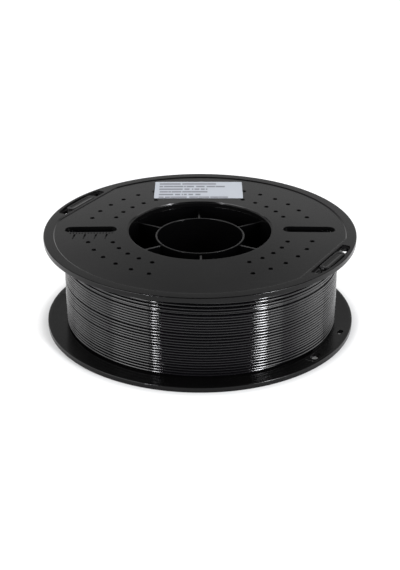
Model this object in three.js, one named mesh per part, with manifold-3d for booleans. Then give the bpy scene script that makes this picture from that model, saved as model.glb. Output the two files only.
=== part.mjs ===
// A 1 kg filament spool: two identical flanges bonded to a webbed drum, wound with 1.75 mm
// filament, with a paper label on the upper flange. Millimetres, +Z up.
// The spool stands on its lower rim: z = 0 is the floor and the Z axis is the spool's own axis.
import * as THREE from 'three';
import { mergeVertices } from 'three/addons/utils/BufferGeometryUtils.js';
import Module from 'manifold-3d';

// ---------- driving dimensions ----------
const WIDTH = 62.6; // over both rims
const FIT_GAP = 0.3; // between pieces that touch
const ROUND_SIDES = 60;

// flange, measured from the top of its rim inwards
const RIM_RADIUS = 100;
const RIM_THICKNESS = 3.6;
const RIM_EDGE_ROUND = 1.0;
const RIM_LAND_INNER = 95.5; // the flat on which the spool stands
const DISC_RADIUS = 94.5; // the recessed disc inside the rim
const DISC_DROP = 0.8;
const DISC_THICKNESS = 2.4;
const INNER_FACE = DISC_DROP + DISC_THICKNESS; // depth of the face that meets the filament
const LIP_RADIUS = 97.2; // a low lip round the inner face, out to the rim
const LIP_RUN = 0.6;
const HUB_HOLE_RADIUS = 47;
const HUB_HOLE_CHAMFER = 0.4;

// the two raised segments of the rim and the filament clip in each
const SEGMENT_ANGLES = [150, -30];
const SEGMENT_CHORD = 87.3; // distance of its straight edge from the axis
const SEGMENT_ARC = 97;
const CLIP_CHORD = 89.2;
const CLIP_ARC = 97.6;
const CLIP_HALF_LENGTH = 23;
const CLIP_DEPTH = 2.4;
const CLIP_LINE = 92.6; // distance of the clip's bar and holes from the axis
const CLIP_HOLE = { offset: 18.4, length: 7.5, width: 4 };
const CLIP_BAR = { length: 29, width: 4, drop: 1.0 };
const BOSS_MARGIN = 0.8; // the clip's floor shows on the inner face as a low boss
const BOSS_HEIGHT = 0.6;

// openings in the flange's disc
const SLOT = { inner: 53.3, outer: 86.7, width: 8.6 };
const TICK = { radii: [59.5, 66.3, 73.3, 80], offset: 11, length: 5, width: 1, depth: 0.4 };
const HOLE_RADIUS = 1.5;
const HOLE_SIDES = 6;
const HOLE_ROWS = [
  { radius: 73, first: 15.5, step: 9.9, count: 6 },
  { radius: 58.4, first: 20.2, step: 9.9, count: 5 },
];

// drum: barrel, bore sleeve and the webs between them
const BARREL_INNER = 46;
const BARREL_OUTER = 49;
const SPIGOT_OUTER = 47.5;
const SOCKET_INNER = SPIGOT_OUTER + FIT_GAP;
const SOCKET_HEIGHT = 4;
const SLEEVE_INNER = 27.5;
const SLEEVE_OUTER = 29.2;
const SLEEVE_DROP = 4.4; // of its ends below the rims
const WEB_THICKNESS = 1.5;
const WEB_ANGLES = [30, 90, 150, 210, 270, 330];

// filament: a plain core with its outer layer of turns
const FILAMENT_DIAMETER = 1.75;
const WINDING_RADIUS = 87.45;
const CORE_RADIUS = 84.6;
const LOOPS = 24;
const LOOP_STEPS = 24;
const TUBE_SIDES = 6;
const LAYER_START = 90; // degrees: both ends of the layer lie at the back
const DIVE_RADIUS = 2; // of the bend where the layer's first end goes down into the core
const DIVE_STEPS = 4;
const PIT_RADIUS = 1.5;
const LEAST_GAP_ALLOWED = 0.4;

// label
const LABEL = { width: 62, depth: 33, x: -1.1, y: 69, corner: 1, thickness: 0.2 };

// ---------- helpers ----------
const wasm = await Module();
wasm.setup();
const { Manifold, Mesh: SolidMesh } = wasm;
const radians = THREE.MathUtils.degToRad;

function signedVolume(geometry) {
  const position = geometry.attributes.position;
  const index = geometry.index.array;
  const corner = [new THREE.Vector3(), new THREE.Vector3(), new THREE.Vector3()];
  let sum = 0;
  for (let i = 0; i < index.length; i += 3) {
    corner.forEach((point, k) => point.fromBufferAttribute(position, index[i + k]));
    sum += corner[0].dot(corner[1].clone().cross(corner[2])) / 6;
  }
  return sum;
}

// a closed geometry with merged corners and its faces pointing out
function closed(geometry) {
  geometry.deleteAttribute('normal');
  geometry.deleteAttribute('uv');
  const merged = mergeVertices(geometry, 1e-4);
  if (signedVolume(merged) < 0) merged.setIndex(Array.from(merged.index.array).reverse());
  return merged;
}

function solid(geometry) {
  const merged = closed(geometry);
  const vertProperties = new Float32Array(merged.attributes.position.array);
  const triVerts = new Uint32Array(merged.index.array);
  return new Manifold(new SolidMesh({ numProp: 3, vertProperties, triVerts }));
}

function geometryOf(manifold) {
  const { vertProperties, triVerts } = manifold.getMesh();
  const geometry = new THREE.BufferGeometry();
  geometry.setAttribute('position', new THREE.BufferAttribute(vertProperties, 3));
  geometry.setIndex(new THREE.BufferAttribute(triVerts, 1));
  geometry.computeVertexNormals();
  return geometry;
}

// a ring round Z from a closed profile of [radius, height] points
function ring(profile) {
  const points = [...profile, profile[0]].map(([radius, height]) => new THREE.Vector2(radius, height));
  return new THREE.LatheGeometry(points, ROUND_SIDES).rotateX(Math.PI / 2);
}

function prism(shape, bottom, top, curveSegments = 4) {
  const options = { depth: top - bottom, bevelEnabled: false, curveSegments };
  return new THREE.ExtrudeGeometry(shape, options).translate(0, 0, bottom);
}

// a slot with round ends, centred on the origin and running along Y
function roundEndedShape(length, width) {
  const radius = width / 2;
  const straight = length / 2 - radius;
  const shape = new THREE.Shape();
  shape.absarc(0, straight, radius, 0, Math.PI, false);
  shape.absarc(0, -straight, radius, Math.PI, 2 * Math.PI, false);
  shape.closePath();
  return shape;
}

function rectangleShape(width, depth, corner) {
  const x = width / 2 - corner;
  const y = depth / 2 - corner;
  const shape = new THREE.Shape();
  shape.absarc(x, y, corner, 0, Math.PI / 2, false);
  shape.absarc(-x, y, corner, Math.PI / 2, Math.PI, false);
  shape.absarc(-x, -y, corner, Math.PI, 1.5 * Math.PI, false);
  shape.absarc(x, -y, corner, 1.5 * Math.PI, 2 * Math.PI, false);
  shape.closePath();
  return shape;
}

// the part of a disc beyond a chord that stands square to +X
function segmentShape(chord, radius, halfLength = radius) {
  const reach = Math.min(Math.acos(chord / radius), Math.asin(halfLength / radius));
  const shape = new THREE.Shape();
  shape.moveTo(chord, -radius * Math.sin(reach));
  shape.absarc(0, 0, radius, -reach, reach, false);
  shape.lineTo(chord, radius * Math.sin(reach));
  shape.closePath();
  return shape;
}

function joined(first, others) {
  return others.reduce((sum, other) => sum.add(other), first);
}

function cutBy(first, others) {
  return others.reduce((rest, other) => rest.subtract(other), first);
}

// ---------- flange, with the top of its rim at z = 0 and its inner face downwards ----------
function flangeProfile() {
  const edge = RIM_EDGE_ROUND;
  const diagonal = edge * Math.SQRT1_2;
  const roundTop = [RIM_RADIUS - edge + diagonal, -edge + diagonal];
  const roundBottom = [RIM_RADIUS - edge + diagonal, -RIM_THICKNESS + edge - diagonal];
  return [
    [HUB_HOLE_RADIUS + HUB_HOLE_CHAMFER, -DISC_DROP],
    [HUB_HOLE_RADIUS, -DISC_DROP - HUB_HOLE_CHAMFER],
    [HUB_HOLE_RADIUS, -INNER_FACE],
    [SOCKET_INNER, -INNER_FACE],
    [SOCKET_INNER, -INNER_FACE - SOCKET_HEIGHT],
    [BARREL_OUTER, -INNER_FACE - SOCKET_HEIGHT],
    [BARREL_OUTER, -INNER_FACE],
    [LIP_RADIUS - LIP_RUN, -INNER_FACE],
    [LIP_RADIUS, -RIM_THICKNESS],
    [RIM_RADIUS - edge, -RIM_THICKNESS],
    roundBottom,
    [RIM_RADIUS, -RIM_THICKNESS + edge],
    [RIM_RADIUS, -edge],
    roundTop,
    [RIM_RADIUS - edge, 0],
    [RIM_LAND_INNER, 0],
    [DISC_RADIUS, -DISC_DROP],
  ];
}

function perforations() {
  const cutters = [];
  for (const { radius, first, step, count } of HOLE_ROWS) {
    for (let i = 0; i < count; i += 1) {
      const angle = first + step * i;
      for (const place of [angle, 180 - angle, 180 + angle, -angle]) {
        const hole = new THREE.CylinderGeometry(HOLE_RADIUS, HOLE_RADIUS, 2 * INNER_FACE, HOLE_SIDES);
        hole.rotateX(Math.PI / 2).translate(radius, 0, -INNER_FACE).rotateZ(radians(place));
        cutters.push(solid(hole));
      }
    }
  }
  return cutters;
}

function sightSlots() {
  const shape = roundEndedShape(SLOT.outer - SLOT.inner, SLOT.width);
  return [0, 180].map((angle) => {
    const slot = prism(shape, -2 * INNER_FACE, 1).rotateZ(Math.PI / 2);
    return solid(slot.translate((SLOT.inner + SLOT.outer) / 2, 0, 0).rotateZ(radians(angle)));
  });
}

// a scale of plain engraved bars beside the slot on the -X side
function tickMarks() {
  return TICK.radii.map((radius) => {
    const tick = new THREE.BoxGeometry(TICK.width, TICK.length, 2 * TICK.depth);
    return solid(tick.translate(-radius, -TICK.offset, -DISC_DROP));
  });
}

function flangeSolid() {
  const added = [];
  const cut = [...perforations(), ...sightSlots(), ...tickMarks()];
  const bars = [];
  const holes = [];
  for (const angle of SEGMENT_ANGLES) {
    const turned = (geometry) => solid(geometry.rotateZ(radians(angle)));
    added.push(turned(prism(segmentShape(SEGMENT_CHORD, SEGMENT_ARC), -INNER_FACE + 1, 0, 12)));
    const boss = segmentShape(
      CLIP_CHORD - BOSS_MARGIN, CLIP_ARC + BOSS_MARGIN, CLIP_HALF_LENGTH + 2 * BOSS_MARGIN);
    added.push(turned(prism(boss, -INNER_FACE - BOSS_HEIGHT, -INNER_FACE + 0.5, 12)));
    const pocket = segmentShape(CLIP_CHORD, CLIP_ARC, CLIP_HALF_LENGTH);
    cut.push(turned(prism(pocket, -CLIP_DEPTH, 1, 12)));
    const bar = prism(roundEndedShape(CLIP_BAR.length, CLIP_BAR.width), -CLIP_DEPTH - 0.5, -CLIP_BAR.drop);
    bars.push(turned(bar.translate(CLIP_LINE, 0, 0)));
    for (const side of [-1, 1]) {
      const hole = prism(roundEndedShape(CLIP_HOLE.length, CLIP_HOLE.width), -2 * INNER_FACE, 1);
      holes.push(turned(hole.translate(CLIP_LINE, side * CLIP_HOLE.offset, 0)));
    }
  }
  const blank = joined(solid(ring(flangeProfile())), added);
  return cutBy(joined(cutBy(blank, cut), bars), holes);
}

// ---------- drum ----------
function drumSolid() {
  const end = INNER_FACE + FIT_GAP;
  const shoulder = end + SOCKET_HEIGHT;
  const barrel = ring([
    [BARREL_INNER, end],
    [SPIGOT_OUTER, end],
    [SPIGOT_OUTER, shoulder],
    [BARREL_OUTER, shoulder],
    [BARREL_OUTER, WIDTH - shoulder],
    [SPIGOT_OUTER, WIDTH - shoulder],
    [SPIGOT_OUTER, WIDTH - end],
    [BARREL_INNER, WIDTH - end],
  ]);
  const sleeve = ring([
    [SLEEVE_INNER, SLEEVE_DROP],
    [SLEEVE_OUTER, SLEEVE_DROP],
    [SLEEVE_OUTER, WIDTH - SLEEVE_DROP],
    [SLEEVE_INNER, WIDTH - SLEEVE_DROP],
  ]);
  const webStart = (SLEEVE_INNER + SLEEVE_OUTER) / 2;
  const webEnd = (BARREL_INNER + SPIGOT_OUTER) / 2;
  const webs = WEB_ANGLES.map((angle) => {
    const web = new THREE.BoxGeometry(webEnd - webStart, WEB_THICKNESS, WIDTH - 2 * SLEEVE_DROP);
    return solid(web.translate((webStart + webEnd) / 2, 0, WIDTH / 2).rotateZ(radians(angle)));
  });
  return joined(solid(barrel), [solid(sleeve), ...webs]);
}

// ---------- filament ----------
const TUBE_RADIUS = FILAMENT_DIAMETER / 2;
const LAYER_RADIUS = WINDING_RADIUS - TUBE_RADIUS;
const LAYER_BOTTOM = INNER_FACE + FIT_GAP + TUBE_RADIUS;
const LAYER_PITCH = (WIDTH - 2 * LAYER_BOTTOM) / LOOPS;
const DIVE_END = LAYER_RADIUS - DIVE_RADIUS - FILAMENT_DIAMETER;

function onDrum(radius, along, height) {
  const point = new THREE.Vector3(radius, along, height);
  return point.applyAxisAngle(new THREE.Vector3(0, 0, 1), radians(LAYER_START));
}

// centres of the outer layer: out of the core, round the bend, then up the drum turn by turn
function layerCentres() {
  const centres = [onDrum(DIVE_END, -DIVE_RADIUS, LAYER_BOTTOM)];
  for (let i = 0; i < DIVE_STEPS; i += 1) {
    const turn = (Math.PI / 2) * (i / DIVE_STEPS);
    const radius = LAYER_RADIUS - DIVE_RADIUS + DIVE_RADIUS * Math.sin(turn);
    centres.push(onDrum(radius, -DIVE_RADIUS * Math.cos(turn), LAYER_BOTTOM));
  }
  for (let i = 0; i <= LOOPS * LOOP_STEPS; i += 1) {
    const turn = (2 * Math.PI * i) / LOOP_STEPS;
    const height = LAYER_BOTTOM + (LAYER_PITCH * i) / LOOP_STEPS;
    centres.push(onDrum(LAYER_RADIUS * Math.cos(turn), LAYER_RADIUS * Math.sin(turn), height));
  }
  centres.push(onDrum(LAYER_RADIUS, FILAMENT_DIAMETER, WIDTH - LAYER_BOTTOM));
  return centres;
}

// one unbroken tube of flat-sided rings through the centres, closed by a fan at each end
function tubeGeometry(centres) {
  const positions = [];
  const up = new THREE.Vector3(0, 0, 1);
  const last = centres.length - 1;
  centres.forEach((centre, i) => {
    const before = centres[Math.max(i - 1, 0)];
    const after = centres[Math.min(i + 1, last)];
    const along = after.clone().sub(before).normalize();
    const side = along.clone().cross(up).normalize();
    const rise = side.clone().cross(along);
    for (let k = 0; k < TUBE_SIDES; k += 1) {
      const angle = (2 * Math.PI * k) / TUBE_SIDES;
      const point = centre.clone().addScaledVector(side, TUBE_RADIUS * Math.cos(angle));
      point.addScaledVector(rise, TUBE_RADIUS * Math.sin(angle));
      positions.push(...point.toArray());
    }
  });
  positions.push(...centres[0].toArray(), ...centres[last].toArray());
  const firstCap = centres.length * TUBE_SIDES;
  const index = [];
  for (let k = 0; k < TUBE_SIDES; k += 1) {
    const next = (k + 1) % TUBE_SIDES;
    for (let i = 0; i < last; i += 1) {
      const a = i * TUBE_SIDES;
      const b = a + TUBE_SIDES;
      index.push(a + k, b + k, a + next, a + next, b + k, b + next);
    }
    index.push(firstCap, k, next);
    index.push(firstCap + 1, last * TUBE_SIDES + next, last * TUBE_SIDES + k);
  }
  const geometry = new THREE.BufferGeometry();
  geometry.setAttribute('position', new THREE.Float32BufferAttribute(positions, 3));
  geometry.setIndex(index);
  return closed(geometry);
}

// the least distance between centres at least half a loop apart, less one diameter
function leastGap(centres) {
  let least = Infinity;
  for (let i = 0; i < centres.length; i += 1) {
    for (let j = i + LOOP_STEPS / 2; j < centres.length; j += 1) {
      least = Math.min(least, centres[i].distanceTo(centres[j]));
    }
  }
  return least - FILAMENT_DIAMETER;
}

function coreSolid() {
  const end = INNER_FACE + FIT_GAP;
  const inner = BARREL_OUTER + FIT_GAP;
  const core = ring([
    [inner, end],
    [CORE_RADIUS, end],
    [CORE_RADIUS, WIDTH - end],
    [inner, WIDTH - end],
  ]);
  const depth = 2 * (CORE_RADIUS - DIVE_END + FIT_GAP);
  const pit = new THREE.CylinderGeometry(PIT_RADIUS, PIT_RADIUS, depth, TUBE_SIDES);
  pit.rotateZ(Math.PI / 2).translate(CORE_RADIUS, -DIVE_RADIUS, LAYER_BOTTOM);
  return solid(core).subtract(solid(pit.rotateZ(radians(LAYER_START))));
}

// ---------- assembly ----------
const blackPlastic = new THREE.MeshStandardMaterial({ color: 0x242426, roughness: 0.35 });
const drumPlastic = new THREE.MeshStandardMaterial({ color: 0x1c1c1e, roughness: 0.4 });
const filamentGrey = new THREE.MeshStandardMaterial({ color: 0x3a393b, roughness: 0.25 });
const labelPaper = new THREE.MeshStandardMaterial({ color: 0xc7cad0, roughness: 0.7 });

const spool = new THREE.Group();

function addPiece(name, geometry, material) {
  const mesh = new THREE.Mesh(geometry, material);
  mesh.name = name;
  spool.add(mesh);
  return mesh;
}

const flangeGeometry = geometryOf(flangeSolid());
addPiece('upper_flange', flangeGeometry, blackPlastic).position.z = WIDTH;

// the same moulding turned over about the line through its two clips
const clipLine = radians(SEGMENT_ANGLES[0]);
const turnAxis = new THREE.Vector3(Math.cos(clipLine), Math.sin(clipLine), 0);
addPiece('lower_flange', flangeGeometry, blackPlastic).quaternion.setFromAxisAngle(turnAxis, Math.PI);

addPiece('drum', geometryOf(drumSolid()), drumPlastic);
addPiece('filament_core', geometryOf(coreSolid()), filamentGrey);

const centres = layerCentres();
const gap = leastGap(centres);
console.log(`outer layer: ${LOOPS} loops, least gap to itself ${gap.toFixed(2)} mm`);
if (gap < LEAST_GAP_ALLOWED) throw new Error('the turns of the outer layer are too close');
addPiece('filament_outer_layer', tubeGeometry(centres), filamentGrey);

const labelShape = rectangleShape(LABEL.width, LABEL.depth, LABEL.corner);
const labelSheet = closed(prism(labelShape, 0, LABEL.thickness, 2));
const label = addPiece('label', labelSheet, labelPaper);
label.position.set(LABEL.x, LABEL.y, WIDTH - DISC_DROP + FIT_GAP);

export default spool;
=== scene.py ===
# %% [markdown]
# # A 1 kg filament spool
#
# A reel like this is injection moulded in glossy black plastic. Two identical flanges are
# snapped onto a webbed drum, 1.75 mm filament is wound between them, and a paper label is
# stuck on the upper flange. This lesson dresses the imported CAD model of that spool: every
# piece that shows is modelled again with its real edges, and the CAD keeps its place and size.
# The Z axis is the spool's own axis, and z = 0 is the floor. Lengths are written in
# millimetres and multiplied by MM, because Blender works in metres.

# %% Load the frame
import math

import bmesh
import bpy
from mathutils import Matrix, Vector


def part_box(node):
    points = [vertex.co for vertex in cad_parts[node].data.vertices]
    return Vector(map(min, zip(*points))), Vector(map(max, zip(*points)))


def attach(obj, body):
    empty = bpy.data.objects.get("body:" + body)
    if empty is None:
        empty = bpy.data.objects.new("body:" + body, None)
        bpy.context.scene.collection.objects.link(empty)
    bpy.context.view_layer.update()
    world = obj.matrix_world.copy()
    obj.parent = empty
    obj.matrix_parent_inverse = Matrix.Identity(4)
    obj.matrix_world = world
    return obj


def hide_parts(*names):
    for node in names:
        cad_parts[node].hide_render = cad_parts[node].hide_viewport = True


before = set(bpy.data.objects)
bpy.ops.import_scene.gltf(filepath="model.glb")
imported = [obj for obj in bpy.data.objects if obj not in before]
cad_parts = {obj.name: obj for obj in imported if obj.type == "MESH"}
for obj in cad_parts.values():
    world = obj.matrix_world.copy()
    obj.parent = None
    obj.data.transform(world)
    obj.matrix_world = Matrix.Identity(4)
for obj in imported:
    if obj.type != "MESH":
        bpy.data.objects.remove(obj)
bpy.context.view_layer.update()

MM = 0.001
print("CAD nodes:", ", ".join(sorted(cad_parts)))

# %% [markdown]
# ## The camera
#
# The photograph looks down on the spool at about 26 degrees with a long lens. A camera is
# an object like any other: its place comes from its distance and its elevation, and a turn about
# X tips it down. The lens was worked out from the shape of both rims in the photograph.

# %% Camera
CAMERA_DISTANCE = 813 * MM
CAMERA_ELEVATION = math.radians(25.84)
AIM_HEIGHT = 22.6 * MM
LENS = 78.3

bpy.ops.object.camera_add(
    location=(
        0,
        -CAMERA_DISTANCE * math.cos(CAMERA_ELEVATION),
        AIM_HEIGHT + CAMERA_DISTANCE * math.sin(CAMERA_ELEVATION),
    ),
    rotation=(math.pi / 2 - CAMERA_ELEVATION, 0, 0),
)
camera = bpy.context.active_object
camera.name = "camera"
camera.data.lens = LENS
bpy.context.scene.camera = camera
print("camera stands at", [round(v, 3) for v in camera.location])

# %% [markdown]
# ## The sizes
#
# A spool is a turned shape, so nearly all of its sizes are radii and heights. The heights of
# a flange are counted down from the top of its rim, as on a workshop drawing, because the same
# moulding is used twice: once as it is, and once turned over.

# %% Sizes in millimetres
low, high = (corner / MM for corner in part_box("upper_flange"))
RIM_RADIUS = round(high.x, 1)
WIDTH = round(high.z, 1)
RIM_THICKNESS = 3.6
RIM_ROUND_ACROSS, RIM_ROUND_DOWN = 0.7, 0.5
LAND_INNER = 93.6
DISC_RADIUS, DISC_EDGE_TOP = 93.0, -0.55
HUB_STEP, DISC_HUB_TOP = 47.3, -0.05
INNER_FACE = -3.2
SLOPE_START, SLOPE_END = 89.0, 97.6
HUB_HOLE, HUB_RECESS = 45.8, -0.6
SOCKET_INNER, SOCKET_OUTER, SOCKET_END = 47.8, 49.0, -7.2
SEGMENT_ANGLES = (150, -30)
SEGMENT_CHORD = 87.3
POCKET_CHORD, POCKET_ARC, POCKET_HALF, POCKET_FLOOR = 89.2, 97.6, 23.0, -1.4
CLIP_LINE = 92.6
print("flange radius", RIM_RADIUS, "mm, width over both rims", WIDTH, "mm")

# %% [markdown]
# ## Helpers for working as by hand
#
# An operator acts on whatever is selected, so each step first selects one piece, and then the
# edges or faces that it means, by where they are. The outline of a turned shape is drawn as
# one would at the screen: a single vertex is extruded from point to point, and then spun.


# %% Selecting
def only(piece):
    """Selects one piece and nothing else."""
    bpy.ops.object.select_all(action="DESELECT")
    piece.select_set(True)
    bpy.context.view_layer.objects.active = piece
    return piece


def added(name):
    """Names the object that a primitive has just made."""
    piece = bpy.context.active_object
    piece.name = piece.data.name = name
    return piece


def editing(piece, kind="EDGE"):
    """Opens a piece in edit mode with nothing selected."""
    only(piece)
    bpy.ops.object.mode_set(mode="EDIT")
    bpy.ops.mesh.select_mode(type=kind)
    bpy.ops.mesh.select_all(action="DESELECT")


def done():
    bpy.ops.object.mode_set(mode="OBJECT")


def pick(piece, kind, test):
    """Selects the edges or faces that pass a test, and says how many there are."""
    bpy.ops.mesh.select_all(action="DESELECT")
    shape = bmesh.from_edit_mesh(piece.data)
    chosen = [part for part in getattr(shape, kind) if test(part)]
    for part in chosen:
        part.select_set(True)
    shape.select_flush_mode()
    bmesh.update_edit_mesh(piece.data)
    return len(chosen)


# %% Turned shapes
def trace(name, outline):
    """Draws a closed outline of [radius, height] points in the XZ plane, left in edit mode."""
    bpy.ops.object.select_all(action="DESELECT")
    bpy.ops.mesh.primitive_plane_add(size=MM)
    piece = added(name)
    editing(piece, "VERT")
    bpy.ops.mesh.select_all(action="SELECT")
    bpy.ops.mesh.merge(type="CENTER")
    here = (0, 0)
    for there in [*outline, outline[0]]:
        step = ((there[0] - here[0]) * MM, 0, (there[1] - here[1]) * MM)
        if here == (0, 0):
            bpy.ops.transform.translate(value=step)
        else:
            bpy.ops.mesh.extrude_region_move(TRANSFORM_OT_translate={"value": step})
        here = there
    return piece


def tidy():
    """Merges doubles and turns all faces outwards, in edit mode."""
    bpy.ops.mesh.select_all(action="SELECT")
    bpy.ops.mesh.remove_doubles(threshold=0.002 * MM)
    bpy.ops.mesh.normals_make_consistent(inside=False)
    shape = bmesh.from_edit_mesh(bpy.context.active_object.data)
    if shape.calc_volume(signed=True) < 0:
        bpy.ops.mesh.flip_normals()


def spin(steps):
    """Spins the traced outline round the Z axis into a closed shape."""
    bpy.ops.mesh.select_all(action="SELECT")
    bpy.ops.mesh.remove_doubles(threshold=0.002 * MM)
    bpy.ops.mesh.spin(steps=steps, angle=2 * math.pi, center=(0, 0, 0), axis=(0, 0, 1))
    tidy()


def soften_ring(piece, radius, height, width, segments):
    """Bevels the circle of edges at one radius and height."""

    def on_circle(edge):
        return all(
            abs(math.hypot(v.co.x, v.co.y) - radius * MM) < 0.05 * MM
            and abs(v.co.z - height * MM) < 0.05 * MM
            for v in edge.verts
        )

    bpy.ops.mesh.select_mode(type="EDGE")
    count = pick(piece, "edges", on_circle)
    bpy.ops.mesh.bevel(offset=width * MM, segments=segments, affect="EDGES")
    return count


# %% Joining, cutting and finishing
def combine(piece, tool, operation):
    """Adds a tool to a piece or cuts it away, and removes the tool."""
    only(piece)
    modifier = piece.modifiers.new(operation.lower(), "BOOLEAN")
    modifier.operation = operation
    modifier.solver = "MANIFOLD"
    modifier.object = tool
    bpy.ops.object.modifier_apply(modifier=modifier.name)
    bpy.data.objects.remove(tool)


def copies(tool, places):
    """Copies a tool to each place, each copy with its own mesh, and joins them."""
    made = []
    for place in places:
        only(tool)
        bpy.ops.object.duplicate()
        twin = bpy.context.active_object
        twin.data.transform(place)
        made.append(twin)
    bpy.data.objects.remove(tool)
    bpy.ops.object.select_all(action="DESELECT")
    for twin in made:
        twin.select_set(True)
    bpy.context.view_layer.objects.active = made[0]
    bpy.ops.object.join()
    return made[0]


def turned(degrees, x=0.0, y=0.0, z=0.0):
    """A place: moved by x, y and z millimetres, then turned about the spool's axis."""
    move = Matrix.Translation((x * MM, y * MM, z * MM))
    return Matrix.Rotation(math.radians(degrees), 4, "Z") @ move


def finish(piece, angle=32):
    """Smooth shading that keeps crisp edges and flat faces."""
    only(piece)
    bpy.ops.object.shade_smooth_by_angle(angle=math.radians(angle))
    weighted = piece.modifiers.new("weighted", "WEIGHTED_NORMAL")
    weighted.keep_sharp = True
    bpy.ops.object.modifier_apply(modifier=weighted.name)
    print(piece.name, "has", len(piece.data.polygons), "faces")
    return piece


# %% [markdown]
# ## The flange
#
# The flange is a thin disc with a thicker rim on which the spool stands. Its disc lies 0.55 mm
# below the rim at its edge, rises very slightly towards the hub, and ends in a narrow step
# round the hub hole. It could be extruded from a circle, but spinning its cross-section gives
# every radius at once. The rim's corners are small rounds, drawn as quarter ellipses, and the
# other ring edges are bevelled afterwards. Two more rings of edges on the disc keep its faces
# from being long and thin.

# %% Flange blank
FLANGE_STEPS = 256
RING_LINES = (66, 82)


def disc_level(radius):
    """Height of the disc's upper face at a radius."""
    fall = DISC_EDGE_TOP - DISC_HUB_TOP
    return DISC_HUB_TOP + fall * (radius - HUB_STEP) / (DISC_RADIUS - HUB_STEP)


def quarter_round(steps=6):
    """Points of a quarter ellipse, from the flat of the rim to its side, as steps inwards."""
    turns = [math.pi / 2 * i / steps for i in range(steps + 1)]
    return [
        (RIM_ROUND_ACROSS * (1 - math.sin(t)), RIM_ROUND_DOWN * (1 - math.cos(t))) for t in turns
    ]


rim_top = [(RIM_RADIUS - across, -down) for across, down in quarter_round()]
rim_bottom = [(radius, -RIM_THICKNESS - height) for radius, height in rim_top]
flange_outline = [
    (HUB_HOLE, HUB_RECESS),
    (HUB_HOLE, INNER_FACE),
    (SOCKET_INNER, INNER_FACE),
    (SOCKET_INNER, SOCKET_END),
    (SOCKET_OUTER, SOCKET_END),
    (SOCKET_OUTER, INNER_FACE),
    *((radius, INNER_FACE) for radius in RING_LINES),
    (SLOPE_START, INNER_FACE),
    (SLOPE_END, -RIM_THICKNESS),
    *rim_bottom,
    *reversed(rim_top),
    (LAND_INNER, 0),
    (DISC_RADIUS, DISC_EDGE_TOP),
    *((radius, disc_level(radius)) for radius in reversed(RING_LINES)),
    (HUB_STEP, DISC_HUB_TOP),
    (HUB_STEP - 0.2, HUB_RECESS),
]
upper = trace("upper_flange_shell", flange_outline)
spin(FLANGE_STEPS)
for radius, height, width, segments in (
    (LAND_INNER, 0, 0.2, 2),
    (DISC_RADIUS, DISC_EDGE_TOP, 0.15, 2),
    (HUB_HOLE, HUB_RECESS, 0.15, 2),
):
    soften_ring(upper, radius, height, width, segments)
done()
print("flange blank:", len(upper.data.polygons), "faces")

# %% [markdown]
# ## The raised segments and the filament clips
#
# On two opposite sides the rim widens into a flat segment with a straight inner edge. Each holds
# a shallow pocket with a rounded bar, which has a channel along it, and a hole at both ends of
# the bar. The loose end of the filament goes down one hole and comes up by the other. A segment
# is a cylinder cut off by bisecting it, and the bar and the holes are boxes whose corners are
# bevelled until the ends are round. A cutter starts a hair's breadth, CLEAR, above the face that
# it cuts, because a Boolean goes wrong where two faces lie in one plane.


# %% Blocks for the segments
def segment(name, chord, arc, bottom, top, half_length=None):
    """The part of a cylinder beyond a straight line that stands square to +X."""
    bpy.ops.object.select_all(action="DESELECT")
    bpy.ops.mesh.primitive_cylinder_add(
        vertices=FLANGE_STEPS, radius=arc * MM, depth=(top - bottom) * MM
    )
    piece = added(name)
    piece.data.transform(Matrix.Translation((0, 0, (top + bottom) / 2 * MM)))
    editing(piece)
    cuts = [((chord, 0, 0), (1, 0, 0))]
    if half_length:
        cuts += [((0, half_length, 0), (0, -1, 0)), ((0, -half_length, 0), (0, 1, 0))]
    for point, normal in cuts:
        bpy.ops.mesh.select_all(action="SELECT")
        bpy.ops.mesh.bisect(
            plane_co=[v * MM for v in point], plane_no=normal, use_fill=True, clear_inner=True
        )
    tidy()
    done()
    return piece


def bevel_where(piece, test, width, segments):
    """Bevels the edges that pass a test."""
    editing(piece)
    count = pick(piece, "edges", test)
    bpy.ops.mesh.bevel(offset=width * MM, segments=segments, affect="EDGES")
    tidy()
    done()
    return count


def upright(edge):
    return abs(edge.verts[0].co.z - edge.verts[1].co.z) > 0.5 * MM


def level_at(height):
    """A test for edges that lie level at a height."""
    return lambda edge: all(abs(v.co.z - height * MM) < 0.02 * MM for v in edge.verts)


def sharp_corner(edge):
    """An upright edge where two sides meet at more than 30 degrees."""
    return upright(edge) and len(edge.link_faces) == 2 and edge.calc_face_angle() > 0.5


# %% Raised segments and the low bosses under the pockets
SEGMENT_ARC, SEGMENT_BOTTOM, SEGMENT_TOP = 97.0, -2.0, -0.02
BOSS_MARGIN, BOSS_BOTTOM, BOSS_TOP = 0.8, -3.8, -2.9


def on_chord(edge):
    """The upper edge along the straight side of a segment."""
    first, second = (vertex.co.x for vertex in edge.verts)
    return level_at(SEGMENT_TOP)(edge) and abs(first - second) < 0.01 * MM


land = segment("segment", SEGMENT_CHORD, SEGMENT_ARC, SEGMENT_BOTTOM, SEGMENT_TOP)
bevel_where(land, on_chord, 0.25, 2)
combine(upper, copies(land, [turned(a) for a in SEGMENT_ANGLES]), "UNION")

boss = segment(
    "boss",
    POCKET_CHORD - BOSS_MARGIN,
    POCKET_ARC + BOSS_MARGIN,
    BOSS_BOTTOM,
    BOSS_TOP,
    POCKET_HALF + 2 * BOSS_MARGIN,
)
bevel_where(boss, sharp_corner, BOSS_MARGIN, 3)
bevel_where(boss, level_at(BOSS_BOTTOM), 0.1, 2)
combine(upper, copies(boss, [turned(a) for a in SEGMENT_ANGLES]), "UNION")
print("flange with segments:", len(upper.data.polygons), "faces")


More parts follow.
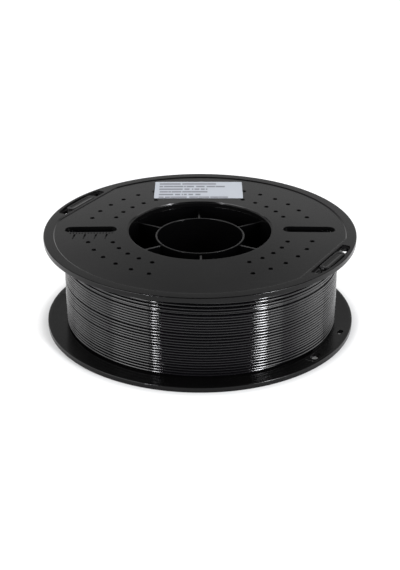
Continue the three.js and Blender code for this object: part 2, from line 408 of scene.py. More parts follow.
# %% Pockets with flared mouths
def flared_down(piece, mouth, flare, floor, flare_depth=None):
    """Turns a plate above a surface into a cutter: in by the flare, then straight down."""
    flare_depth = flare_depth or flare
    editing(piece, "FACE")
    pick(piece, "faces", lambda f: f.normal.z < -0.9)
    bpy.ops.mesh.inset(thickness=flare * MM, depth=0, use_even_offset=True)
    bpy.ops.transform.translate(value=(0, 0, -flare_depth * MM))
    bpy.ops.mesh.extrude_region_move(
        TRANSFORM_OT_translate={"value": (0, 0, (floor - mouth + flare_depth) * MM)}
    )
    tidy()
    done()
    return piece


FLARE = 0.3
CUTTER_TOP = 2
pocket = segment(
    "pocket", POCKET_CHORD - FLARE, POCKET_ARC + FLARE, 0, CUTTER_TOP, POCKET_HALF + FLARE
)
bevel_where(pocket, sharp_corner, 1.3, 4)
flared_down(pocket, 0, FLARE, POCKET_FLOOR)
combine(upper, copies(pocket, [turned(a) for a in SEGMENT_ANGLES]), "DIFFERENCE")
print("pockets", 2 * POCKET_HALF, "mm long and", -POCKET_FLOOR, "mm deep")


# %% Round-ended blocks
CLEAR = 0.03


def round_block(name, length, width, bottom, top, segments=8):
    """A block along Y whose ends are full rounds, made by bevelling the corners of a box."""
    bpy.ops.object.select_all(action="DESELECT")
    bpy.ops.mesh.primitive_cube_add(size=1)
    piece = added(name)
    piece.data.transform(Matrix.Diagonal((width * MM, length * MM, (top - bottom) * MM, 1)))
    piece.data.transform(Matrix.Translation((0, 0, (top + bottom) / 2 * MM)))
    bevel_where(piece, upright, width / 2 * 0.996, segments)
    return piece


def through_cutter(name, length, width, mouth, flare, far_side, slope=0.0):
    """A round-ended hole with both mouths flared: half of it is modelled, and then mirrored.
    Slope makes its upper mouth rise along Y."""
    mouth, far_side = mouth + CLEAR, far_side - CLEAR
    middle = (mouth + far_side) / 2
    piece = round_block(
        name, length + 2 * flare, width + 2 * flare, mouth, mouth + CUTTER_TOP, 6
    )
    flared_down(piece, mouth, flare, middle)
    editing(piece, "FACE")
    pick(
        piece,
        "faces",
        lambda f: f.normal.z < -0.9 and f.calc_center_median().z < (middle + 0.01) * MM,
    )
    bpy.ops.mesh.delete(type="FACE")
    done()
    piece.data.transform(Matrix.Translation((0, 0, -middle * MM)))
    only(piece)
    mirror = piece.modifiers.new("mirror", "MIRROR")
    mirror.use_axis = (False, False, True)
    mirror.merge_threshold = 0.01 * MM
    bpy.ops.object.modifier_apply(modifier=mirror.name)
    piece.data.transform(Matrix.Translation((0, 0, middle * MM)))
    for vertex in piece.data.vertices:
        if vertex.co.z > middle * MM:
            vertex.co.z += slope * vertex.co.y
    editing(piece)
    tidy()
    done()
    return piece


# %% Clip bars and the holes at their ends
BAR_LENGTH, BAR_WIDTH, BAR_TOP, BAR_ROUND = 28.4, 6.4, -0.4, 0.7
CHANNEL_LENGTH, CHANNEL_WIDTH, CHANNEL_FLARE, CHANNEL_DEPTH = 24.0, 4.0, 1.0, 0.22
bar_places = [turned(a, CLIP_LINE + 0.3) for a in SEGMENT_ANGLES]

bar = round_block("bar", BAR_LENGTH, BAR_WIDTH, BOSS_TOP, BAR_TOP)
bevel_where(bar, level_at(BAR_TOP), BAR_ROUND, 4)
combine(upper, copies(bar, bar_places), "UNION")

channel = round_block("channel", CHANNEL_LENGTH, CHANNEL_WIDTH, BAR_TOP + CLEAR, 1)
flared_down(channel, BAR_TOP + CLEAR, CHANNEL_FLARE, BAR_TOP - CHANNEL_DEPTH, 0.24)
combine(upper, copies(channel, bar_places), "DIFFERENCE")

for hole_name, length, width, along_chord in (
    ("large_clip_hole", 8.4, 4.4, 17.8),
    ("small_clip_hole", 5.8, 3.2, -18.6),
):
    clip_hole = through_cutter(hole_name, length, width, POCKET_FLOOR, 0.2, BOSS_BOTTOM)
    clip_places = [turned(a, CLIP_LINE, along_chord) for a in SEGMENT_ANGLES]
    combine(upper, copies(clip_hole, clip_places), "DIFFERENCE")
print("flange with clips:", len(upper.data.polygons), "faces")

# %% [markdown]
# ## Sight slots, small perforations and the scale
#
# The slots show how much filament is left. Beside one of them a plain engraved scale has fine
# marks along the slot and four longer bars. Rows of small perforations save plastic and let
# air through. All of them are cut with tools that flare by a fraction of a millimetre at
# both faces, because a moulded hole never has a razor edge, and that edge catches the light.

# %% Slots and perforations
SLOT_INNER, SLOT_OUTER, SLOT_WIDTH = 53.3, 86.7, 8.6
HOLE_WIDTH = 3.0
# Radius, first angle, angle from hole to hole, and holes in a quarter of the row.
HOLE_ROWS = ((73.0, 15.5, 9.9, 6), (58.4, 20.2, 9.9, 5))
ROWS_TURN = 0.5

slot_middle = (SLOT_INNER + SLOT_OUTER) / 2
slot = through_cutter(
    "slot",
    SLOT_OUTER - SLOT_INNER,
    SLOT_WIDTH,
    disc_level(slot_middle),
    0.25,
    INNER_FACE,
    slope=(DISC_HUB_TOP - DISC_EDGE_TOP) / (DISC_RADIUS - HUB_STEP),
)
slot.data.transform(Matrix.Rotation(math.pi / 2, 4, "Z"))
cutters = [copies(slot, [turned(0, slot_middle), turned(180, slot_middle)])]

for radius, first, step, count in HOLE_ROWS:
    perforation = through_cutter(
        "perforation", HOLE_WIDTH, HOLE_WIDTH, disc_level(radius), 0.2, INNER_FACE
    )
    places = []
    for angle in [first + step * i for i in range(count)]:
        places += [turned(a + ROWS_TURN, radius) for a in (angle, 180 - angle, 180 + angle, -angle)]
    cutters.append(copies(perforation, places))
    print(len(places), "perforations at radius", radius)

# %% Engraved scale
SCALE_RADII = (59.5, 66.3, 73.3, 80.0)
BAR_Y, FINE_MARK_Y = -11.6, -6.2
FINE_RADII = [56 + 1.9 * i for i in range(15)]
lean = Matrix.Rotation(math.radians(-5), 4, "Z")
scale_bar = round_block("scale_bar", 8.0, 1.1, -0.8, 1, 3)
scale_places = [turned(0, -r, BAR_Y, disc_level(r)) @ lean for r in SCALE_RADII]
cutters.append(copies(scale_bar, scale_places))
fine_mark = round_block("fine_mark", 1.9, 0.75, -0.4, 1, 2)
mark_places = [turned(0, -r, FINE_MARK_Y, disc_level(r)) for r in FINE_RADII]
cutters.append(copies(fine_mark, mark_places))
for cutter in cutters:
    combine(upper, cutter, "DIFFERENCE")
print("scale of", len(scale_places), "bars and", len(mark_places), "fine marks")
editing(upper)
tidy()
done()

# %% Place both flanges
only(upper)
bpy.ops.object.duplicate()
lower = bpy.context.active_object
lower.name = lower.data.name = "lower_flange_shell"
upper.data.transform(Matrix.Translation((0, 0, WIDTH * MM)))
clip_line = Vector((math.cos(math.radians(150)), math.sin(math.radians(150)), 0))
lower.data.transform(Matrix.Rotation(math.pi, 4, clip_line))
finish(upper)
finish(lower)

# %% [markdown]
# ## The drum
#
# Inside the winding is a drum: a wide barrel on which the filament lies, a thin sleeve that
# runs on the shaft of the holder, and six webs between them. The rings are spun as the flange
# was. The webs are boxes, 0.7 mm lower than the sleeve so that it stands a little proud, and
# Boolean unions make one moulding of it all.

# %% Barrel and sleeve
DRUM_END = 3.5
DRUM_STEPS = 160
BARREL_INNER, BARREL_NECK, BARREL_OUTER = 46, 47.5, 49
shoulder = DRUM_END + 4
barrel_outline = [
    (BARREL_INNER, DRUM_END),
    (BARREL_NECK, DRUM_END),
    (BARREL_NECK, shoulder),
    (BARREL_OUTER, shoulder),
    (BARREL_OUTER, WIDTH - shoulder),
    (BARREL_NECK, WIDTH - shoulder),
    (BARREL_NECK, WIDTH - DRUM_END),
    (BARREL_INNER, WIDTH - DRUM_END),
]
drum = trace("drum_moulding", barrel_outline)
spin(DRUM_STEPS)
for end in (DRUM_END, WIDTH - DRUM_END):
    soften_ring(drum, BARREL_INNER, end, 0.1, 2)
done()

SLEEVE_INNER, SLEEVE_OUTER, SLEEVE_END = 27.5, 28.6, 4.4
sleeve = trace(
    "sleeve",
    [
        (SLEEVE_INNER, SLEEVE_END),
        (SLEEVE_OUTER, SLEEVE_END),
        (SLEEVE_OUTER, WIDTH - SLEEVE_END),
        (SLEEVE_INNER, WIDTH - SLEEVE_END),
    ],
)
spin(DRUM_STEPS)
for radius in (SLEEVE_INNER, SLEEVE_OUTER):
    for end in (SLEEVE_END, WIDTH - SLEEVE_END):
        soften_ring(sleeve, radius, end, 0.25, 2)
done()
print("sleeve", 2 * SLEEVE_INNER, "mm across inside")

# %% Webs
WEB_LENGTH, WEB_THICKNESS, WEB_RADIUS, WEB_ROUND = 18.6, 1.3, 37.5, 0.3
WEB_END = SLEEVE_END + 0.7
WEB_ANGLES = [31 + 60 * i for i in range(6)]
bpy.ops.object.select_all(action="DESELECT")
bpy.ops.mesh.primitive_cube_add(size=1)
web = added("web")
web_height = WIDTH - 2 * WEB_END
web.data.transform(
    Matrix.Diagonal((WEB_LENGTH * MM, WEB_THICKNESS * MM, web_height * MM, 1))
)
web.data.transform(Matrix.Translation((WEB_RADIUS * MM, 0, WIDTH / 2 * MM)))
bevel_where(web, lambda e: abs(e.verts[0].co.x - e.verts[1].co.x) > MM, WEB_ROUND, 2)
combine(drum, sleeve, "UNION")
combine(drum, copies(web, [turned(a) for a in WEB_ANGLES]), "UNION")
editing(drum)
tidy()
done()
finish(drum)

# %% [markdown]
# ## The body of the winding
#
# Under the outermost layer lie some twenty more. Only their edges show, through the sight slots
# and in the gaps between the outer turns, so they are one turned body with a round bead for
# each turn at its ends and round its outside. The outline is a row of arcs, spun once.

# %% Beaded winding body
FILAMENT = 1.72
BODY_INNER, BODY_OUTER = 49.3, 84.7
BODY_END = 3.55


def beads(start, end, count, bulge, segments=4):
    """Points of a row of arcs from start to end. Bulge is the way the arcs stand out."""
    start, end, bulge = Vector(start), Vector(end), Vector(bulge)
    along = (end - start) / count
    points = []
    for i in range(count):
        middle = start + along * (i + 0.5)
        for k in range(segments):
            turn = math.pi * k / segments
            points.append(middle - along / 2 * math.cos(turn) + bulge * math.sin(turn))
    return [tuple(p) for p in points]


BEAD = 0.55
BODY_STEPS = 112
ROWS_ACROSS, ROWS_UP = 20, 30
low_end, high_end = BODY_END + BEAD, WIDTH - BODY_END - BEAD
body_outline = (
    beads((BODY_INNER, low_end), (BODY_OUTER, low_end), ROWS_ACROSS, (0, -BEAD))
    + beads((BODY_OUTER - BEAD, low_end), (BODY_OUTER - BEAD, high_end), ROWS_UP, (BEAD, 0), 3)
    + beads((BODY_OUTER, high_end), (BODY_INNER, high_end), ROWS_ACROSS, (0, BEAD))
    + [(BODY_INNER, high_end)]
)
body = trace("filament_body", body_outline)
spin(BODY_STEPS)
done()
finish(body, 60)

# %% [markdown]
# ## The outer layer of filament
#
# The outer layer is one strand, and its rows are never perfectly even. On the real spool
# each turn lies flat round the back and climbs by one diameter across the front, some
# turns leave a gap, and two have sunk between their neighbours. A screw modifier would give
# a perfect helix and look like a thread, so the strand follows a curve instead. Its height
# is worked out at four places round the spool by stacking the turns one diameter apart, with
# a little slack where the real one has a gap, and blended between those places. The layer also
# bulges by about a millimetre on the right, as loosely wound turns do. Both ends of the strand
# are tucked in between the layers.

# %% Heights of the turns at four places
WINDING_RADIUS, END_GAP = 87.45, 0.32
LAYER_RADIUS = WINDING_RADIUS - FILAMENT / 2
LAYER_LOW = -INNER_FACE + END_GAP + FILAMENT / 2
LAYER_HIGH = WIDTH + INNER_FACE - END_GAP - FILAMENT / 2
RIGHT_HIGH, LEFT_HIGH = 57.4, 57.8


def stack(lowest, highest, first, last, slack):
    """Heights of turns first to last: a diameter apart, plus their slack, scaled to fit."""
    tight = sum(v for v in slack.values() if v < 0)
    loose = sum(v for v in slack.values() if v > 0)
    spare = highest - lowest - FILAMENT * (last - first) - tight
    heights = {first: lowest}
    for turn in range(first, last):
        extra = slack.get(turn, 0)
        if extra > 0:
            extra = extra * spare / loose
        heights[turn + 1] = heights[turn] + FILAMENT + extra
    return heights


right_turns = stack(
    LAYER_LOW, RIGHT_HIGH, 0, 29,
    {0: 0.5, 1: 0.2, 2: 0.3, 7: 0.2, 9: 0.2, 11: 0.2, 12: 0.3, 14: 0.4,
     21: -0.27, 22: -0.27, 24: 0.5, 25: -0.12, 26: -0.12, 27: 0.9, 28: 0.7},
)
front_turns = stack(
    LAYER_LOW + 0.1, LAYER_HIGH, -1, 29,
    {0: 0.1, 1: 0.1, 2: 0.1, 11: 0.2, 12: 0.2, 13: 0.3, 21: -0.1, 22: -0.1,
     24: 0.7, 25: -0.12, 26: -0.12, 27: 0.9},
)
left_turns = stack(
    LAYER_LOW + 0.5, LEFT_HIGH, -1, 28,
    {-1: 0.2, 0: 0.3, 1: 0.3, 9: 0.6, 12: 0.3, 13: 0.2, 14: 0.9,
     21: -0.27, 22: -0.27, 23: 0.5, 24: 0.4, 25: -0.12, 26: -0.12, 27: 0.6},
)
right_turns[-1] = LAYER_LOW
left_turns[29] = LAYER_HIGH
back_turns = {j: (left_turns[j - 1] + right_turns[j]) / 2 for j in range(0, 30)}
back_turns[-1], back_turns[30] = LAYER_LOW, LAYER_HIGH
print("turns at the front:", ", ".join(f"{front_turns[j]:.1f}" for j in sorted(front_turns)))

# %% The strand's path
RIGHT_AT, FRONT_AT, LEFT_AT = 0.34, 0.45, 0.64
STRAND_START, STRAND_END = -0.76, 29.66
TUCK_START, TUCK_END = -0.55, 29.46
SUNK = {22: 0.92, 26: 0.7}
SINK_FROM, SINK_TO, SINK_EASE = 0.2, 1.15, 0.12
BULGE, BULGE_TURN = 1.3, math.radians(15)


def plain_height(turns):
    """Height after a number of turns, counted clockwise from the back."""
    whole = math.floor(turns)
    part = turns - whole
    stations = (
        (0, back_turns[whole]),
        (RIGHT_AT, right_turns[whole]),
        (FRONT_AT, front_turns[whole]),
        (LEFT_AT, left_turns[whole]),
        (1, back_turns[whole + 1]),
    )
    for (a, low_a), (b, low_b) in zip(stations, stations[1:]):
        if part <= b:
            return low_a + (low_b - low_a) * (part - a) / (b - a)


def smooth(value):
    """0 below 0 and 1 above 1, with a gentle change between."""
    value = min(max(value, 0), 1)
    return value * value * (3 - 2 * value)


def strand_point(turns):
    """A point of the strand, evened out over its neighbours: some turns are sunk, both ends
    are tucked in, and the radius wavers by a few hundredths of a millimetre."""
    offsets = (-0.024, -0.012, 0, 0.012, 0.024)
    ends = (STRAND_START, STRAND_END)
    heights = [plain_height(min(max(turns + d, ends[0]), ends[1])) for d in offsets]
    radius = LAYER_RADIUS
    for turn, depth in SUNK.items():
        sinking = smooth((turns - turn - SINK_FROM) / SINK_EASE)
        radius -= depth * sinking * smooth((turn + SINK_TO - turns) / SINK_EASE)
    for past_end in (TUCK_START - turns, turns - TUCK_END):
        radius -= 1.75 * smooth(past_end / 0.1) + 1.5 * smooth((past_end - 0.1) / 0.08)
    radius += 0.03 * math.sin(8.6 * turns) + 0.02 * math.sin(23.1 * turns + 1)
    angle = math.pi / 2 - 2 * math.pi * turns
    radius += BULGE * smooth(math.cos(angle + BULGE_TURN))
    height = sum(heights) / len(heights)
    return radius * math.cos(angle) * MM, radius * math.sin(angle) * MM, height * MM


# %% The strand itself
STRAND_STEPS = 180
step_count = round((STRAND_END - STRAND_START) * STRAND_STEPS)
path = [
    strand_point(STRAND_START + (STRAND_END - STRAND_START) * i / step_count)
    for i in range(step_count + 1)
]
strand = bpy.data.curves.new("filament_winding", "CURVE")
strand.dimensions = "3D"
strand.twist_mode = "Z_UP"
strand.bevel_depth = FILAMENT / 2 * MM
strand.bevel_resolution = 4
strand.use_fill_caps = True
spline = strand.splines.new("POLY")
spline.points.add(len(path) - 1)
for point, place in zip(spline.points, path):
    point.co = (*place, 1)
winding = bpy.data.objects.new("filament_winding", strand)
bpy.context.collection.objects.link(winding)
only(winding)
bpy.ops.object.convert(target="MESH")
winding = bpy.context.active_object
editing(winding)
tidy()
done()
only(winding)
bpy.ops.object.shade_smooth()
length = sum(math.dist(a, b) for a, b in zip(path, path[1:]))
print(f"strand: {length:.1f} m in {STRAND_END - STRAND_START:.1f} turns")
print(winding.name, "has", len(winding.data.polygons), "faces")

# %% [markdown]
# ## The label
#
# The label is a slip of paper with rounded corners on the flange's disc. A plane would have
# no edge, so it is a thin box with rounded corners. The disc is very slightly domed, so the
# box is cut into strips both ways and each of its points is laid on the disc.

# %% Label
LABEL_WIDTH, LABEL_DEPTH, LABEL_X, LABEL_Y = 60.6, 31.2, -1.0, 68.9
LABEL_THICKNESS, LABEL_GAP, LABEL_CORNER = 0.11, 0.015, 1.0
STRIPS_X, STRIPS_Y = 16, 8
bpy.ops.object.select_all(action="DESELECT")
bpy.ops.mesh.primitive_cube_add(size=1)
label = added("label_sheet")
label.data.transform(
    Matrix.Diagonal((LABEL_WIDTH * MM, LABEL_DEPTH * MM, LABEL_THICKNESS * MM, 1))
)
bevel_where(label, lambda e: abs(e.verts[0].co.z - e.verts[1].co.z) > 0.1 * MM, LABEL_CORNER, 4)
label.data.transform(Matrix.Translation((LABEL_X * MM, LABEL_Y * MM, 0)))
editing(label)
for i in range(1, STRIPS_X):
    bpy.ops.mesh.select_all(action="SELECT")
    cut_at = (LABEL_X - LABEL_WIDTH / 2 + LABEL_WIDTH * i / STRIPS_X) * MM
    bpy.ops.mesh.bisect(plane_co=(cut_at, 0, 0), plane_no=(1, 0, 0))
for i in range(1, STRIPS_Y):
    bpy.ops.mesh.select_all(action="SELECT")
    cut_at = (LABEL_Y - LABEL_DEPTH / 2 + LABEL_DEPTH * i / STRIPS_Y) * MM
    bpy.ops.mesh.bisect(plane_co=(0, cut_at, 0), plane_no=(0, 1, 0))
done()
for vertex in label.data.vertices:
    level = disc_level(math.hypot(vertex.co.x, vertex.co.y) / MM)
    vertex.co.z += (WIDTH + level + LABEL_GAP + LABEL_THICKNESS / 2) * MM
finish(label)

# %% [markdown]
# ## Materials as Python sums
#
# A procedural material is arithmetic on places: how far a point is from the axis, or how
# a noise looks there. One small class lets that arithmetic be written as Python, and every
# operator adds its Math node. Anything else comes from one method that adds a node, its
# settings first and then its sockets.


# %% The class for shader sums
class Wire:
    """An output of a node that can be used in Python sums."""

    def __init__(self, tree, socket=None):
        self.tree, self.socket = tree, socket

    def node(self, kind, settings=None, sockets=None, output=0):
        made = self.tree.nodes.new(kind)
        for name, value in (settings or {}).items():
            if name == "stops":
                ramp = made.color_ramp
                while len(ramp.elements) < len(value):
                    ramp.elements.new(0.5)
                for element, (position, shade) in zip(ramp.elements, value):
                    element.position, element.color = position, (shade, shade, shade, 1)
            else:
                setattr(made, name, value)
        for name, value in (sockets or {}).items():
            if isinstance(value, Wire):
                self.tree.links.new(value.socket, made.inputs[name])
            else:
                made.inputs[name].default_value = value
        return Wire(self.tree, made.outputs[output])

    def math(self, operation, *values):
        return self.node("ShaderNodeMath", {"operation": operation}, dict(enumerate(values)))

    def vector_math(self, operation, output="Vector"):
        return self.node("ShaderNodeVectorMath", {"operation": operation}, {0: self}, output)

    def __add__(self, other):
        return self.math("ADD", self, other)

    def __mul__(self, other):
        return self.math("MULTIPLY", self, other)

    def __sub__(self, other):
        return self.math("SUBTRACT", self, other)

    def __rsub__(self, other):
        return self.math("SUBTRACT", other, self)

    def __truediv__(self, other):
        return self.math("DIVIDE", self, other)

    def __rtruediv__(self, other):
        return self.math("DIVIDE", other, self)

    def __abs__(self):
        return self.math("ABSOLUTE", self)

    __radd__, __rmul__ = __add__, __mul__

    def rising(self, start, end):
        """0 below start and 1 above end."""
        sockets = {0: self, 1: start, 2: end, 3: 0.0, 4: 1.0}
        return self.node("ShaderNodeMapRange", {"interpolation_type": "SMOOTHSTEP"}, sockets)

    def part(self, axis):
        return self.node("ShaderNodeSeparateXYZ", {}, {0: self}, "XYZ".index(axis))

    def noise(self, scale, detail=2.0, roughness=0.5):
        """Noise from 0 to 1 with this many waves to a metre, or to a unit of the vector."""
        sockets = {"Vector": self, "Scale": scale, "Detail": detail, "Roughness": roughness}
        return self.node("ShaderNodeTexNoise", {}, sockets, "Fac")

    def blend(self, first, second):
        """A colour from first to second as this goes from 0 to 1."""
        sockets = {0: self, 6: first, 7: second}
        return self.node("ShaderNodeMix", {"data_type": "RGBA"}, sockets, 2)


def material(name, **constants):
    """A new material: its Principled shader, its tree and the object's own coordinates."""
    made = bpy.data.materials.new(name)
    made.use_nodes = True
    shader = made.node_tree.nodes["Principled BSDF"]
    for socket, value in constants.items():
        shader.inputs[socket.replace("_", " ")].default_value = value
    start = Wire(made.node_tree)
    place = start.node("ShaderNodeTexCoord", {}, {}, "Object")
    return made, shader, start, place


def feed(shader, wires):
    """Links each wire to the shader's socket of that name."""
    for socket, wire in wires.items():
        wire.tree.links.new(wire.socket, shader.inputs[socket])


def dress(piece, finish_of):
    """Gives a piece one material in place of any that it has."""
    piece.data.materials.clear()
    piece.data.materials.append(finish_of)


# %% [markdown]
# ## Glossy black moulding
#
# The flanges are black polystyrene or ABS from a polished mould. Light only shows as
# reflections, so the roughness matters more than the colour: it varies softly over the disc,
# handling leaves fine scuffs, and the rim is a little paler and duller where the spool rubs.

# %% Flange plastic
flange_plastic, shader, start, place = material(
    "black_moulding", IOR=1.5, Specular_IOR_Level=0.2
)
flat_place = place.node("ShaderNodeMapping", {}, {"Vector": place, "Scale": (1, 1, 0)})
radius = flat_place.vector_math("LENGTH", "Value")
cloud = place.noise(28, 3)
grain = place.noise(2600, 2)
streaks = place.node(
    "ShaderNodeMapping", {}, {"Vector": place, "Rotation": (0, 0, 0.6), "Scale": (40, 900, 40)}
).noise(1.0, 3)
scuffs = streaks.rising(0.62, 0.74) * cloud.rising(0.5, 0.65)
rim_wear = radius.rising(0.0985, 0.0999) * place.noise(420, 3).rising(0.55, 0.8)
tone = cloud.blend((0.0012, 0.0012, 0.0013, 1), (0.0022, 0.0021, 0.0021, 1))
tone = (scuffs * 0.3 + rim_wear * 0.06).blend(tone, (0.016, 0.016, 0.017, 1))
feed(
    shader,
    {
        "Base Color": tone,
        "Roughness": 0.13 + cloud * 0.06 + grain * 0.03 + scuffs * 0.06 + rim_wear * 0.06,
        "Normal": start.node(
            "ShaderNodeBump",
            {},
            {"Height": grain * 0.6 + cloud * 4.0, "Strength": 0.12, "Distance": 0.00002},
        ),
    },
)
print("flange plastic:", len(flange_plastic.node_tree.nodes), "nodes")

# %% [markdown]
# ## Drum plastic
#
# The drum comes from another mould: the same black, but with the finer satin face of spark
# erosion, and faint vertical draw marks from the way it leaves the mould.

# %% Drum plastic
drum_plastic, shader, start, place = material(
    "drum_moulding_black", IOR=1.5, Specular_IOR_Level=0.26
)
cloud = place.noise(60, 3)
draw_marks = place.node(
    "ShaderNodeMapping", {}, {"Vector": place, "Scale": (700, 700, 14)}
).noise(1.0, 2)
drum_relief = draw_marks + place.noise(3200, 1) * 0.5
feed(
    shader,
    {
        "Base Color": cloud.blend((0.0007, 0.0007, 0.0008, 1), (0.0012, 0.0012, 0.0013, 1)),
        "Roughness": 0.12 + cloud * 0.06 + draw_marks * 0.06,
        "Normal": start.node(
            "ShaderNodeBump", {}, {"Height": drum_relief, "Strength": 0.15, "Distance": 0.00002}
        ),
    },
)
print("drum plastic:", len(drum_plastic.node_tree.nodes), "nodes")

# %% [markdown]
# ## Filament
#
# The filament is a very dark grey, and almost as glossy as glass. Its tone and its gloss drift
# slowly along the strand. The pattern has to follow the turns, so the noise is stretched:
# many waves up the spool, and few round it.

# %% Filament finish
filament_gloss, shader, start, place = material(
    "dark_grey_filament", IOR=1.5, Specular_IOR_Level=0.38
)
along = place.node(
    "ShaderNodeMapping", {}, {"Vector": place, "Scale": (14, 14, 290)}
).noise(1.0, 2)
feed(
    shader,
    {
        "Base Color": along.blend((0.0012, 0.0011, 0.0014, 1), (0.0024, 0.0022, 0.0028, 1)),
        "Roughness": 0.07 + along * 0.04,
    },
)
print("filament:", len(filament_gloss.node_tree.nodes), "nodes")

# %% [markdown]
# ## Label paper
#
# The label is pale grey coated paper with six plain ruled lines, broken into short dashes.
# Each line is a band in Y, its end is a limit in X, and a noise breaks it into dashes: the
# noise changes along the line, and each line takes another row of it.

# %% Label paper with plain dashes
label_paper, shader, start, place = material("label_paper", Specular_IOR_Level=0.35)
across = place.part("X") / MM
back = place.part("Y") / MM
LINE_ENDS = (0.70, 0.80, 0.60, 0.60, 0.52, 0.83)
FIRST_LINE, LINE_STEP, LINE_START = 4.2, 5.1, 3.0
left_edge = LABEL_X - LABEL_WIDTH / 2
top_edge = LABEL_Y + LABEL_DEPTH / 2
print_mask = None
for row, end in enumerate(LINE_ENDS):
    centre = top_edge - FIRST_LINE - LINE_STEP * row
    band = 1 - abs(back - centre).rising(1.15, 1.5)
    line_end = left_edge + LABEL_WIDTH * end
    span = across.rising(left_edge + LINE_START, left_edge + LINE_START + 0.2) * (
        1 - across.rising(line_end, line_end + 0.2)
    )
    dashes = start.node(
        "ShaderNodeCombineXYZ", {}, {0: across * 0.42, 1: 7.3 * row}
    ).noise(1.0, 1).rising(0.36, 0.40)
    line = band * span * dashes
    print_mask = line if print_mask is None else print_mask.math("MAXIMUM", print_mask, line)
fibre = place.noise(1400, 3)
paper_tone = fibre.blend((0.425, 0.45, 0.49, 1), (0.485, 0.51, 0.555, 1))
feed(
    shader,
    {
        "Base Color": (print_mask * 0.75).blend(paper_tone, (0.10, 0.10, 0.12, 1)),
        "Roughness": 0.45 + fibre * 0.15,
        "Normal": start.node(
            "ShaderNodeBump", {}, {"Height": fibre, "Strength": 0.1, "Distance": 0.00005}
        ),
    },
)
print("label paper:", len(label_paper.node_tree.nodes), "nodes")

# %% [markdown]
# ## Dress the pieces and put them on the frame
#
# Each new piece rides on the CAD body, stands for the CAD node that it replaces, which is hidden,
# and takes its finish.

# %% Ride, replace and finish
for piece, finish_of, node, slot_name in (
    (upper, flange_plastic, "upper_flange", "flange"),
    (lower, flange_plastic, "lower_flange", "flange"),
    (drum, drum_plastic, "drum", "drum"),
    (body, filament_gloss, "filament_core", "filament"),
    (winding, filament_gloss, "filament_outer_layer", "filament"),
    (label, label_paper, "label", "label"),
):
    dress(piece, finish_of)
    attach(piece, "root")
    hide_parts(node)
    print(piece.name, "stands for", node)

# %% [markdown]
# ## Floor and light
#
# The spool stands on a plain white floor. The studio has two tall narrow lamps, which draw the
# two bright streaks down the winding, and three softboxes beside one another on each side.
# The world is nearly dark in front and bright behind, most of all low down and to the sides,
# as a pale backdrop is, because the flange's disc mirrors it. The floor keeps the spool's shadow
# and is lifted to white with a little light of its own, which the camera and the reflections see
# and the spool isn't lit by. That light holds painted shade and painted light: it is weak close
# round the spool, a painted contact shadow, a little stronger beside the spool, painted light
# where the spool's shadow falls, and it grows outwards, painted light where the lamps' light
# falls off.

# %% Floor
FLOOR_RADIUS = 9
bpy.ops.object.select_all(action="DESELECT")
bpy.ops.mesh.primitive_circle_add(vertices=96, radius=FLOOR_RADIUS, fill_type="NGON")
floor = added("floor")
floor_paint, shader, start, place = material("floor_white", Roughness=0.9, Specular_IOR_Level=0.0)
seen = start.node("ShaderNodeLightPath", {}, {}, "Is Camera Ray")
light_path = seen.socket.node
seen = seen + Wire(seen.tree, light_path.outputs["Is Glossy Ray"])
seen = seen + Wire(seen.tree, light_path.outputs["Is Transmission Ray"])
distance = place.vector_math("LENGTH", "Value")
# Painted shade and light in the floor's glow: a painted contact shadow close round the spool,
# painted light beside it where its shadow falls, and more far out where the lamps' light falls off.
painted_light_beside = abs(place.part("X")).rising(0.06, 0.13) * (1 - abs(place.part("Y")).rising(0.08, 0.22))
glow_with_painted_shadow = 0.06 + distance.rising(0.088, 0.098) * 0.14 + distance.rising(0.0985, 0.110) * 0.46
glow_with_painted_shadow = glow_with_painted_shadow + distance.rising(0.2, 0.9) * 0.24 + painted_light_beside * 0.09
glow_with_painted_shadow = glow_with_painted_shadow * seen.math("MINIMUM", seen, 1.0)
speck = place.noise(3, 2)
feed(
    shader,
    {
        "Base Color": speck.blend((0.46, 0.46, 0.46, 1), (0.48, 0.48, 0.48, 1)),
        "Emission Color": glow_with_painted_shadow.blend((0, 0, 0, 1), (1, 1, 1, 1)),
    },
)
shader.inputs["Emission Strength"].default_value = 1.0
dress(floor, floor_paint)
print("floor:", len(floor_paint.node_tree.nodes), "nodes")

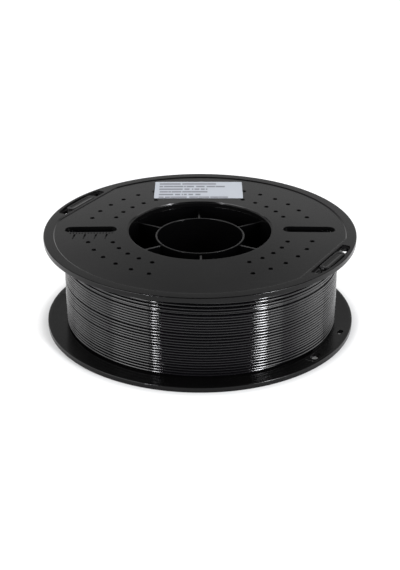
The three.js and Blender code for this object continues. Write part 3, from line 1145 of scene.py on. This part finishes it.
# %% World
world = bpy.data.worlds.new("studio")
bpy.context.scene.world = world
world.use_nodes = True
sky = Wire(world.node_tree)
background = world.node_tree.nodes["Background"]
direction = sky.node("ShaderNodeTexCoord", {}, {}, "Generated")
up, behind, aside = direction.part("Z"), direction.part("Y"), direction.part("X")
backdrop = 1 - up.rising(0.15, 0.485)
rear = behind.rising(-0.2, 0.6)
flank = abs(aside).rising(0.02, 0.16)
level = 0.045 + rear * (0.235 + backdrop * 0.74 + flank * 0.165)
world.node_tree.links.new(level.socket, background.inputs["Strength"])
background.inputs["Color"].default_value = (1, 1, 1, 1)
print("world:", len(world.node_tree.nodes), "nodes")


# %% Lamps
LAMP_DISTANCE, LAMP_RISE = 1.5, 0.03


def lamp(name, start, end, bottom, top, radiance, colour=(1, 1, 1)):
    """An upright softbox that faces the spool's axis, from one azimuth to another in degrees.
    Azimuth 0 is the camera's side and 90 is +X."""
    distance = LAMP_DISTANCE
    azimuth = math.radians((start + end) / 2)
    low, high = (distance * math.tan(math.radians(angle)) for angle in (bottom, top))
    place = (
        distance * math.sin(azimuth),
        -distance * math.cos(azimuth),
        (low + high) / 2 + LAMP_RISE,
    )
    bpy.ops.object.select_all(action="DESELECT")
    bpy.ops.object.light_add(type="AREA", location=place, rotation=(math.pi / 2, 0, azimuth))
    made = bpy.context.active_object
    made.name = name
    made.data.shape = "RECTANGLE"
    made.data.size = 2 * distance * math.tan(math.radians((end - start) / 2))
    made.data.size_y = high - low
    made.data.energy = radiance * math.pi * made.data.size * made.data.size_y
    made.data.color = colour
    return made


lamp("left_strip", -36.5, -34.1, 0, 38, 66, (0.97, 0.97, 1.0))
lamp("right_strip", 46.4, 51.6, 0, 40, 82, (0.96, 0.97, 1.0))
for name, start, end, radiance in (
    ("left_panel_front", -72, -40, 7.7),
    ("left_panel_side", -94, -72, 3.3),
    ("left_panel_rear", -120, -94, 1.6),
    ("right_panel_front", 52.9, 65.5, 7.4),
    ("right_panel_side", 65.5, 82, 1.7),
    ("right_panel_rear", 82, 113, 3.0),
):
    lamp(name, start, end, 0, 34, radiance)
bpy.context.scene.view_settings.view_transform = "Standard"
